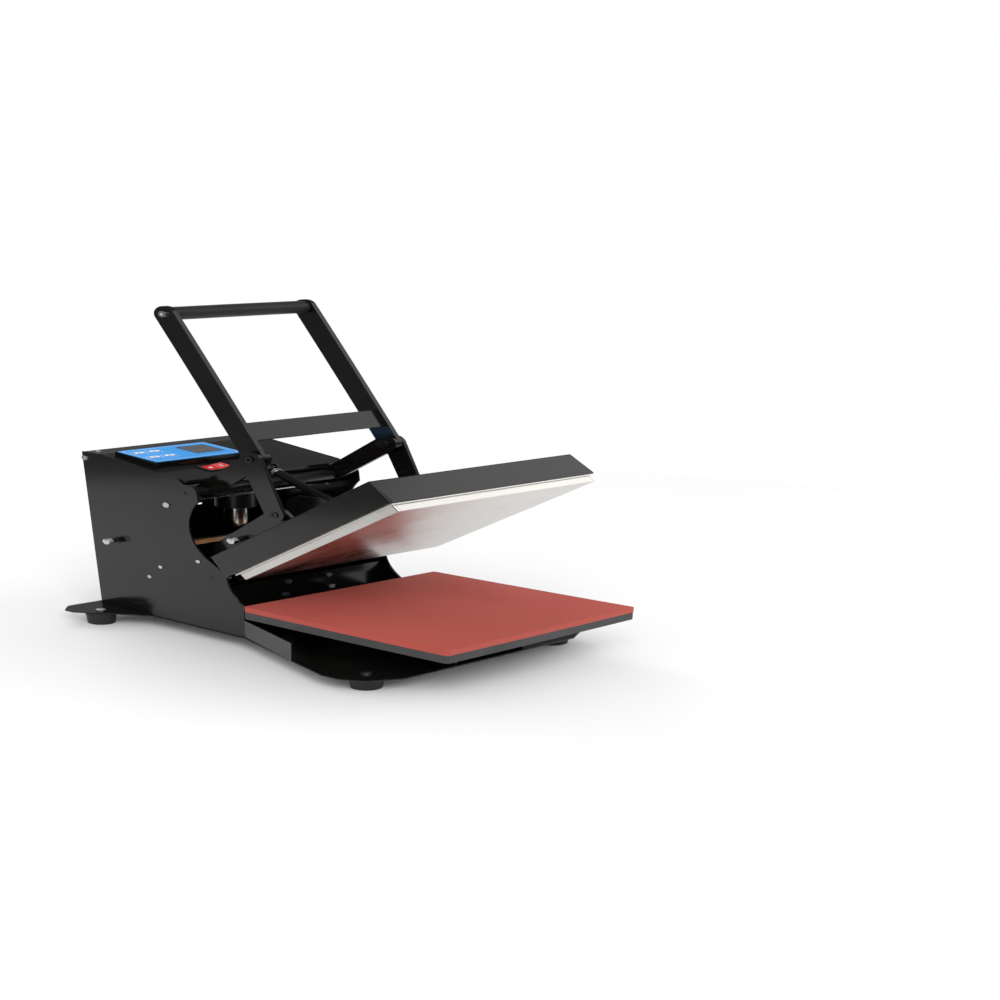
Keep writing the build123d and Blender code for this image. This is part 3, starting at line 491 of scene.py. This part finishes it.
# ---- sub-assemblies -----------------------------------------------------------------------------
@dataclass
class WeldBeads:
    """Weld beads along the feet of the two carrier arms, on the tilted upper platen."""

    shop: Workshop
    bead: float = 1.5 * MM
    arm_faces: tuple[float, float] = (126.0 * MM, 132.0 * MM)
    span: tuple[float, float] = (-226.0 * MM, -80.0 * MM)
    top: float = 34.4 * MM
    clear: float = 0.4

    def build(self) -> None:
        """Lays a bead along both sides of each arm's foot."""
        shape = Shape()
        place = self._place()
        for face, side in zip(self.arm_faces, (-1, 1)):
            for hand in (-1, 1):
                x = hand * (face + side * self.clear * self.bead)
                start, end = (place @ Vector((x, along, self.top)) for along in self.span)
                shape.bead(start, end, self.bead)
        shape.finish("housing_weld_beads", "carriage", "black_powder_coat", self.shop.material("weld"))

    def _place(self) -> Matrix:
        """Axes of the open carriage at its hinge: X across, Y rearwards along the platen, Z off its face."""
        hinge = joint("platen_hinge")
        tilt = math.radians(hinge["range_deg"][1])
        return Matrix.Translation(Vector(hinge["pos_m"])) @ Matrix.Rotation(-tilt, 4, "X")


@dataclass
class HexBolts:
    """A pair of hexagon bolts, one on each hand: a blackened washer and stem under a bright head.

    Each of root, washer and stem is a radius with a depth, a height or a length.
    """

    shop: Workshop
    node: str
    body: str
    length: float = 20.0 * MM
    root: tuple[float, float] = (4.0 * MM, 3.0 * MM)
    washer: tuple[float, float] = (9.4 * MM, 1.8 * MM)
    washer_edge: float = 0.4 * MM
    stem: tuple[float, float] = (5.4 * MM, 11.0 * MM)
    stem_foot: float = 0.6 * MM
    head_radius: float = 9.2 * MM
    head_turn: float = math.radians(12)
    head_chamfer: float = 0.8 * MM

    def build(self) -> None:
        """Builds both bolts in place of the node's plain ones."""
        low, high = node_corners(self.node)
        middle = (low + high) / 2
        hexagon = regular(6, self.head_radius, self.head_turn)
        stems, heads = Shape(), Shape()
        for hand in (-1, 1):
            face = hand * (high.x - self.length)
            place = facing(Vector((face, middle.y, middle.z)), hand * X_AXIS, Y_AXIS)
            stems.lathe(self._stem_profile(), place)
            heads.prism(hexagon, self.stem[1], self.length, place, chamfer=self.head_chamfer)
        stems.finish(f"{self.node}_stems", self.body, "black_oxide", self.shop.material("black_oxide"),
                     replaces=[self.node])
        heads.finish(f"{self.node}_heads", self.body, "zinc_steel", self.shop.material("zinc_steel"))

    def _stem_profile(self) -> Outline:
        """Half section of the root, the washer and the stem."""
        (root, depth), (washer, top), (stem, end) = self.root, self.washer, self.stem
        edge, foot = self.washer_edge, self.stem_foot
        return [
            (0, -depth), (root, -depth), (root, 0), (washer - edge / 2, 0), (washer, edge),
            (washer, top - edge), (washer - edge, top), (stem + foot / 3, top), (stem, top + foot),
            (stem, end), (0, end),
        ]


@dataclass
class HingeSprings:
    """Wound springs with straight legs, one at each end of the platen hinge."""

    shop: Workshop
    radius: float = 13.0 * MM
    wire: float = 1.9 * MM
    turns: float = 4.0
    inner_x: float = 135.5 * MM
    length: float = 16.5 * MM
    leg: float = 30.0 * MM
    leg_way: tuple[float, float, float] = (0.0, 0.25, -1.0)
    tip: float = 0.6 * MM
    tip_share: float = 0.6

    def build(self) -> None:
        """Winds both springs and adds their legs."""
        shape = Shape()
        hinge = Vector(joint("platen_hinge")["pos_m"])
        end = self.leg + self.tip
        profile = [(0, 0), (self.wire, 0), (self.wire, self.leg), (self.tip_share * self.wire, end),
                   (0, end)]
        for hand in (-1, 1):
            start = Vector((hand * self.inner_x, hinge.y, hinge.z))
            place = facing(start, hand * X_AXIS, Y_AXIS)
            shape.coil(place, self.radius, self.wire, self.turns, self.length)
            last = place @ Vector((self.radius, 0, self.length))
            shape.lathe(profile, facing(last, Vector(self.leg_way), X_AXIS), steps=12)
        shape.finish("hinge_springs", "frame", "steel", self.shop.material("steel"),
                     replaces=["torsion_springs"])


@dataclass
class Feet:
    """Four moulded rubber feet with a lip, a groove and a hollow sole."""

    shop: Workshop
    radius: float = 25.0 * MM
    lip_radius: float = 24.6 * MM
    groove_radius: float = 22.8 * MM
    sole_radius: float = 20.0 * MM
    sole_edge: float = 1.2 * MM
    hollow_radius: float = 13.0 * MM
    hollow_depth: float = 5.0 * MM
    front_step_in: float = 4.0 * MM

    def build(self) -> None:
        """Turns the four feet."""
        shape = Shape()
        low, high = node_corners("rubber_feet")
        for x, y in self._centres(low, high):
            shape.lathe(self._profile(high.z), Matrix.Translation((x, y, 0)))
        shape.finish("moulded_feet", "frame", "rubber", self.shop.material("rubber"),
                     replaces=["rubber_feet"])

    def _profile(self, height: float) -> Outline:
        """Half section of a foot, from the hollow in its sole out and up to its flat top."""
        sole, groove, lip = self.sole_radius, self.groove_radius, self.lip_radius
        return [
            (0, self.hollow_depth), (self.hollow_radius - 2 * MM, self.hollow_depth),
            (self.hollow_radius, 0), (sole, 0), (sole + self.sole_edge, self.sole_edge),
            (groove - 0.2 * MM, height * 0.5), (groove + 0.8 * MM, height * 0.80),
            (groove, height * 0.83), (groove, height * 0.87), (lip, height * 0.90),
            (self.radius, height * 0.95), (lip, height - 0.3 * MM), (lip - 0.6 * MM, height), (0, height),
        ]

    def _centres(self, low: Vector, high: Vector) -> list[tuple[float, float]]:
        """Centres of the feet, of which the rear pair stands wider than the front pair."""
        rear_x = high.x - self.radius
        front_x = rear_x - self.front_step_in
        rear = [(hand * rear_x, high.y - self.radius) for hand in (-1, 1)]
        front = [(hand * front_x, low.y + self.radius) for hand in (-1, 1)]
        return rear + front


BUTTONS = ("button_1", "button_2", "button_3", "button_4")


@dataclass
class Controls:
    """Keys with their marks, lines on the faceplate, and the display on the control case.

    The shapes of the key and of its marks are a width, a depth and a corner in units of mark. A line is its
    width with its outer and inner corner radius. A digit's bars are in units of the digit's size, and their
    corner in units of the bar.
    """

    shop: Workshop
    sink: float = 0.05 * MM
    mark: float = 4.2 * MM
    thick: float = 0.18 * MM
    key_shape: tuple[float, float, float] = (4.1, 2.0, 0.6)
    arrow: float = 0.75
    dash_shape: tuple[float, float, float] = (1.6, 0.4, 0.1)
    square_shape: tuple[float, float, float] = (1.0, 1.0, 0.2)
    plate_inset: tuple[float, float] = (7.0 * MM, 9.0 * MM)
    plate_line: tuple[float, float, float] = (0.8 * MM, 4.0 * MM, 3.2 * MM)
    key_frame: tuple[float, float] = (25.0 * MM, 17.5 * MM)
    key_line: tuple[float, float, float] = (0.7 * MM, 4.6 * MM, 4.0 * MM)
    line_rise: float = 0.1 * MM
    rim_line: tuple[float, float, float] = (2.5 * MM, 1.5 * MM, 1.0 * MM)
    rim_rise: float = 0.35 * MM
    digit_sizes: tuple[float, float] = (9.0 * MM, 6.0 * MM)
    digits_per_row: int = 3
    digit_pitch: float = 1.25
    row_pitch: float = 20.0 * MM
    digit_rise: float = 0.06 * MM
    bar: float = 0.16
    bar_corner: float = 0.3
    level_bar: float = 0.62
    upright_bar: float = 0.52
    bar_offset: tuple[float, float] = (0.42, 0.72)

    def build(self) -> None:
        """Builds the keys, the lines and the display."""
        normal = -Vector(joint("button_1_press")["axis"])
        self._keys(normal)
        self._faceplate_lines(normal)
        self._display(normal)

    def _top_of(self, node: str, normal: Vector) -> Matrix:
        """Place on the middle of a node's outer face, facing along normal."""
        data = frame["nodes"][node].data
        middle = node_centre(node)
        height = max((v.co - middle).dot(normal) for v in data.vertices)
        return facing(middle + normal * height, normal, X_AXIS)

    def _in_marks(self, shape: tuple[float, float, float]) -> Outline:
        """Rounded rectangle given in units of mark."""
        width, depth, corner = (part * self.mark for part in shape)
        return rounded_rectangle(width, depth, corner)

    def _line(self, shape: Shape, size: tuple[float, float], line: tuple[float, float, float], rise: float,
              place: Matrix, at: tuple[float, float] = (0.0, 0.0)) -> None:
        """Raises a line along the inside of a rounded rectangle."""
        width, outer_corner, inner_corner = line
        outer = rounded_rectangle(size[0], size[1], outer_corner, at=at)
        inner = rounded_rectangle(size[0] - 2 * width, size[1] - 2 * width, inner_corner, at=at)
        shape.ring(outer, inner, -self.sink, rise, place)

    def _keys(self, normal: Vector) -> None:
        """A white key on each button with a generic mark: up, down, a bar and a square."""
        arrow = self.arrow * self.mark
        marks = (regular(3, arrow, math.pi / 2), regular(3, arrow, -math.pi / 2),
                 self._in_marks(self.dash_shape), self._in_marks(self.square_shape))
        for node, outline in zip(BUTTONS, marks):
            place = self._top_of(node, normal)
            key, mark = Shape(), Shape()
            key.prism(self._in_marks(self.key_shape), -self.sink, self.thick, place)
            key.finish(f"{node}_key", f"{node}_body", "button_film", self.shop.material("white_print"))
            mark.prism(outline, self.thick, 1.5 * self.thick, place)
            mark.finish(f"{node}_mark", f"{node}_body", "button_film", self.shop.material("dark_print"))

    def _faceplate_lines(self, normal: Vector) -> None:
        """Thin white lines inside the faceplate's edge and round each key."""
        low, high = node_corners("control_faceplate")
        place = self._top_of("control_faceplate", normal)
        width = high.x - low.x - self.plate_inset[0]
        depth = (high.y - low.y) / abs(normal.z) - self.plate_inset[1]
        shape = Shape()
        self._line(shape, (width, depth), self.plate_line, self.line_rise, place)
        for node in BUTTONS:
            spot = place.inverted() @ node_centre(node)
            self._line(shape, self.key_frame, self.key_line, self.line_rise, place, at=(spot.x, spot.y))
        shape.finish("faceplate_print", "frame", "blue_film", self.shop.material("white_print"))

    def _display(self, normal: Vector) -> None:
        """Dark rim and two rows of idle digits."""
        low, high = node_corners("display_window")
        place = self._top_of("display_window", normal)
        size = (high.x - low.x, (high.y - low.y) / abs(normal.z))
        rim = Shape()
        self._line(rim, size, self.rim_line, self.rim_rise, place)
        rim.finish("display_rim", "frame", "display", self.shop.material("dark_print"))
        digits = Shape()
        middle = (self.digits_per_row - 1) / 2
        for row, digit in enumerate(self.digit_sizes):
            for column in range(self.digits_per_row):
                centre = ((column - middle) * self.digit_pitch * digit, (0.5 - row) * self.row_pitch)
                self._segments(digits, place, centre, digit)
        digits.finish("display_segments", "frame", "display", self.shop.material("dark_print"))

    def _segments(self, shape: Shape, place: Matrix, centre: tuple[float, float], size: float) -> None:
        """Seven bars of one idle digit."""
        bar = self.bar * size
        corner = self.bar_corner * bar
        side_x, step_y = (offset * size for offset in self.bar_offset)
        bars = []
        for step in (-1, 0, 1):
            at = (centre[0], centre[1] + step * step_y)
            bars.append(rounded_rectangle(self.level_bar * size, bar, corner, at=at))
        for side in (-1, 1):
            for step in (-1, 1):
                at = (centre[0] + side * side_x, centre[1] + step * step_y / 2)
                bars.append(rounded_rectangle(bar, self.upright_bar * size, corner, at=at))
        for outline in bars:
            shape.prism(outline, -self.sink, self.digit_rise, place)


@dataclass
class SwitchMarks:
    """White dot on one half of the rocker and a bar on the other."""

    shop: Workshop
    half: float = 9.7 * MM
    dip: float = 1.6 * MM
    lift: float = 3.4 * MM
    dot_radius: float = 3.4 * MM
    dot_steps: int = 24
    bar: tuple[float, float, float] = (1.8 * MM, 9.0 * MM, 0.5 * MM)
    sink: float = 0.1 * MM
    rise: float = 0.25 * MM

    def build(self) -> None:
        """Raises each mark off its half of the rocker, which dips towards the middle."""
        switch = joint("power_rocker")
        axis = Vector(switch["axis"])
        tilt = math.radians(switch["range_deg"][1] / 2)
        along = X_AXIS * math.cos(tilt) + X_AXIS.cross(axis) * math.sin(tilt)
        upright = along.cross(axis)
        dip = math.atan2(self.dip, 2 * self.half)
        shape = Shape()
        marks = ((-1, regular(self.dot_steps, self.dot_radius)), (1, rounded_rectangle(*self.bar)))
        for side, outline in marks:
            face = along * math.cos(dip) * side + upright * math.sin(dip)
            middle = Vector(switch["pos_m"]) + upright * self.lift + along * side * self.half
            place = facing(middle, face.cross(axis) * side, along)
            shape.prism(outline, -self.sink, self.rise, place)
        shape.finish("rocker_marks", "rocker_body", "red_plastic", self.shop.material("white_print"))


@dataclass
class Fasteners:
    """Button-head screws that hold the covers."""

    shop: Workshop
    head: float = 5.0 * MM
    cover: float = 2.0 * MM
    side_gap: float = 12.0 * MM
    heights: tuple[float, float, float] = (0.05, 0.5, 0.95)
    top_x: float = 140.0 * MM
    top_gap: float = 16.0 * MM

    def build(self) -> None:
        """Screws down both sides of the rear cover and at the rear of the top cover."""
        shape = Shape()
        low, high = node_corners("rear_cover")
        lean = math.atan2(high.y - low.y - self.cover, high.z - low.z)
        outward = Vector((0, math.cos(lean), -math.sin(lean)))
        for hand in (-1, 1):
            for share in self.heights:
                height = low.z + share * (high.z - low.z)
                y = low.y + self.cover + (height - low.z) * math.tan(lean)
                spot = Vector((hand * (high.x - self.side_gap), y, height))
                self._screw(shape, facing(spot, outward, X_AXIS))
        top = node_corners("top_cover")[1]
        for hand in (-1, 1):
            spot = Vector((hand * self.top_x, top.y - self.top_gap, top.z))
            self._screw(shape, facing(spot, Z_AXIS, X_AXIS))
        shape.finish("cover_screws", "frame", "zinc_steel", self.shop.material("zinc_steel"))

    def _screw(self, shape: Shape, place: Matrix) -> None:
        """One domed head with a round recess."""
        size = self.head
        profile = [(size, -0.5 * MM), (size, 0.5 * MM), (0.92 * size, 1.5 * MM), (0.7 * size, 2.3 * MM),
                   (0.5 * size, 2.6 * MM), (0.46 * size, 2.5 * MM), (0.44 * size, 1.1 * MM)]
        shape.lathe([(0, -0.5 * MM), *profile, (0, 1.0 * MM)], place, steps=36)


@dataclass
class Damper:
    """Wiper ring and crimped ring round the damper's tube: start, length and rise of each."""

    shop: Workshop
    tube_radius: float = 9.0 * MM
    wiper: tuple[float, float, float] = (163.0 * MM, 9.5 * MM, 1.2 * MM)
    crimp: tuple[float, float, float] = (14.0 * MM, 7.0 * MM, 0.9 * MM)
    sink: float = 0.3 * MM
    edge: float = 0.8 * MM

    def build(self) -> None:
        """Turns the wiper on the open end and the crimp by the eye."""
        pivot = Vector(joint("damper_pivot")["pos_m"])
        axis = Vector(joint("damper_slide")["axis"])
        place = facing(pivot, axis, X_AXIS)
        shape = Shape()
        for start, length, rise in (self.wiper, self.crimp):
            end = start + length
            bore, shoulder = self.tube_radius - self.sink, self.tube_radius + 0.5 * rise
            crown = self.tube_radius + rise
            shape.lathe([(bore, start), (shoulder, start), (crown, start + self.edge),
                         (crown, end - self.edge), (shoulder, end), (bore, end), (bore, start)], place)
        shape.finish("damper_rings", "damper_tube", "zinc_steel", self.shop.material("zinc_steel"))


# ---- the CAD nodes' finishes, the studio and the lens --------------------------------------------
def dress_frame(shop: Workshop) -> None:
    """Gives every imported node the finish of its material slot."""
    for entry in frame["record"]["subparts"]:
        node = frame["nodes"][entry["node"]]
        material = shop.material(entry["material_slot"])
        for slot in node.material_slots:
            slot.material = material
        LOG.info("%s is dressed in %s", entry["node"], entry["material_slot"])


@dataclass(frozen=True)
class Lamp:
    """A square area lamp: its place and side in metres, and its power in watts."""

    name: str
    spot: tuple[float, float, float]
    size: float
    power: float


LAMPS = (
    Lamp("key", (-1.9, -2.3, 3.1), 1.9, 62.0),
    Lamp("fill", (2.8, -1.6, 2.2), 2.2, 26.0),
    Lamp("rim", (0.8, 2.9, 2.6), 2.0, 30.0),
)


@dataclass
class Studio:
    """Pale floor and soft light."""

    floor_radius: float = 1.9
    floor_sides: int = 96
    floor_tones: tuple[float, float] = (0.90, 0.93)
    floor_cloud: float = 1.2
    floor_step: tuple[float, float] = (0.3, 0.7)
    floor_rough: float = 0.6
    lamp_aim: tuple[float, float, float] = (0.0, 0.0, 0.4)
    sky: float = 0.80
    reflected: float = 0.19

    def build(self) -> None:
        """Lays the floor, lights it and sets the sky."""
        self._floor()
        for lamp in LAMPS:
            self._lamp(lamp)
        self._sky()
        bpy.context.scene.view_settings.view_transform = "Standard"

    def _sky(self) -> None:
        """White to the eye, a little softer as light, and dim in reflections, as in a dark room."""
        world = bpy.data.worlds.new("sky")
        world.use_nodes = True
        graph = Graph(world.node_tree)
        background = world.node_tree.nodes["Background"]
        rays = graph.add("LightPath")
        seen, mirrored = rays.outputs["Is Camera Ray"], rays.outputs["Is Glossy Ray"]
        dimmed = graph.maths("MULTIPLY_ADD", mirrored, self.reflected - self.sky, self.sky)
        lifted = graph.maths("MULTIPLY", seen, 1.0 - self.sky)
        strength = graph.maths("ADD", dimmed, lifted)
        world.node_tree.links.new(strength, background.inputs["Strength"])
        background.inputs["Color"].default_value = (1.0, 1.0, 1.0, 1.0)
        bpy.context.scene.world = world

    def _floor(self) -> None:
        """A wide pale floor with a faint unevenness."""
        mesh = bmesh.new()
        bmesh.ops.create_circle(mesh, segments=self.floor_sides, radius=self.floor_radius, cap_ends=True)
        data = bpy.data.meshes.new("floor")
        mesh.to_mesh(data)
        mesh.free()
        material = bpy.data.materials.new("pale_floor")
        material.use_nodes = True
        graph = Graph(material.node_tree)
        shader = material.node_tree.nodes["Principled BSDF"]
        where = graph.add("TexCoord").outputs["Object"]
        cloud = graph.add("TexNoise", {"Vector": where, "Scale": self.floor_cloud}).outputs[0]
        dark, light = ((tone, tone, tone, 1.0) for tone in self.floor_tones)
        tone = graph.blend(graph.ramp(cloud, *self.floor_step), dark, light)
        material.node_tree.links.new(tone, shader.inputs["Base Color"])
        shader.inputs["Roughness"].default_value = self.floor_rough
        data.materials.append(material)
        floor = bpy.data.objects.new("floor", data)
        bpy.context.scene.collection.objects.link(floor)

    def _lamp(self, lamp: Lamp) -> None:
        """Hangs one lamp and turns it to the middle of the press."""
        data = bpy.data.lights.new(lamp.name, "AREA")
        data.size, data.energy = lamp.size, lamp.power
        spot = Vector(lamp.spot)
        hung = bpy.data.objects.new(lamp.name, data)
        hung.location = spot
        hung.rotation_euler = (Vector(self.lamp_aim) - spot).to_track_quat("-Z", "Y").to_euler()
        bpy.context.scene.collection.objects.link(hung)


@dataclass
class Lens:
    """Camera with an anamorphic lens: it takes in a much taller angle than it is wide."""

    spot: tuple[float, float, float] = (-1.762, -1.818, 1.147)
    aim: tuple[float, float, float] = (0.7253, 0.6276, -0.2830)
    roll: float = 0.0261
    half_width: float = 0.2639
    half_height: float = 0.5023
    reach: float = 100.0

    def build(self) -> None:
        """Places the camera and makes it the scene's."""
        data = bpy.data.cameras.new("camera")
        data.type = "PANO"
        data.panorama_type = "EQUIRECTANGULAR"
        data.longitude_min, data.longitude_max = -self.half_width, self.half_width
        data.latitude_min, data.latitude_max = -self.half_height, self.half_height
        data.clip_end = self.reach
        camera = bpy.data.objects.new("camera", data)
        camera.location = self.spot
        level = Vector(self.aim).to_track_quat("-Z", "Y").to_matrix()
        camera.rotation_euler = (level @ Matrix.Rotation(self.roll, 3, "Z")).to_euler()
        bpy.context.scene.collection.objects.link(camera)
        bpy.context.scene.camera = camera


def main() -> None:
    """Dresses the frame, builds the added pieces, the studio and the camera."""
    logging.basicConfig(level=logging.INFO)
    shop = Workshop()
    dress_frame(shop)
    bolts = (HexBolts(shop, "carriage_bolts", "carriage"), HexBolts(shop, "frame_bolts", "frame"))
    panel = (Controls(shop), SwitchMarks(shop))
    for assembly in (WeldBeads(shop), *bolts, HingeSprings(shop), Feet(shop), *panel, Fasteners(shop),
                     Damper(shop)):
        assembly.build()
    Studio().build()
    Lens().build()


if __name__ == "__main__":
    main()
